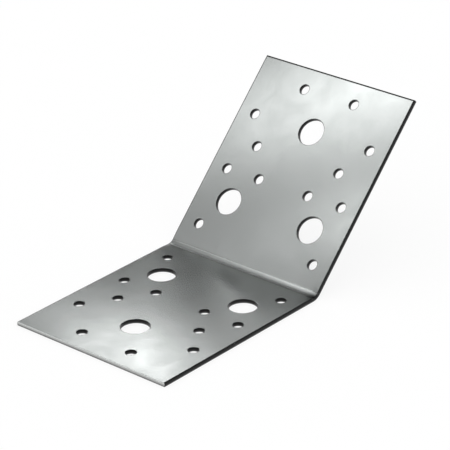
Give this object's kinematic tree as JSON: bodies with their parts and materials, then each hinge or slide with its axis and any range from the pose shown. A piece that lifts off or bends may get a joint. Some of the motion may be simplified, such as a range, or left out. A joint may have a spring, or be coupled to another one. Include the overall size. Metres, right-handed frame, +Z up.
{
  "type": "obtuse angle bracket",
  "caption": "Sheet steel angle bracket folded to 135 degrees, with matching nail and bolt holes through both legs, for joining timbers at an obtuse angle.",
  "frame": {"origin": "the corner where the two bearing faces would meet if the fold were sharp, at the middle of the width, on the plane that the bracket stands on", "axes": "+X along the fold, +Y from the foot's free end towards the fold and the arm, +Z up from the foot's bearing face"},
  "size_m": [0.09, 0.1775, 0.0748],
  "materials": {
    "zinc_coated_steel": "zinc-coated sheet steel, satin, with bare sheared edges"
  },
  "bodies": {
    "root": {"angle_bracket": "zinc_coated_steel"}
  },
  "joints": []
}
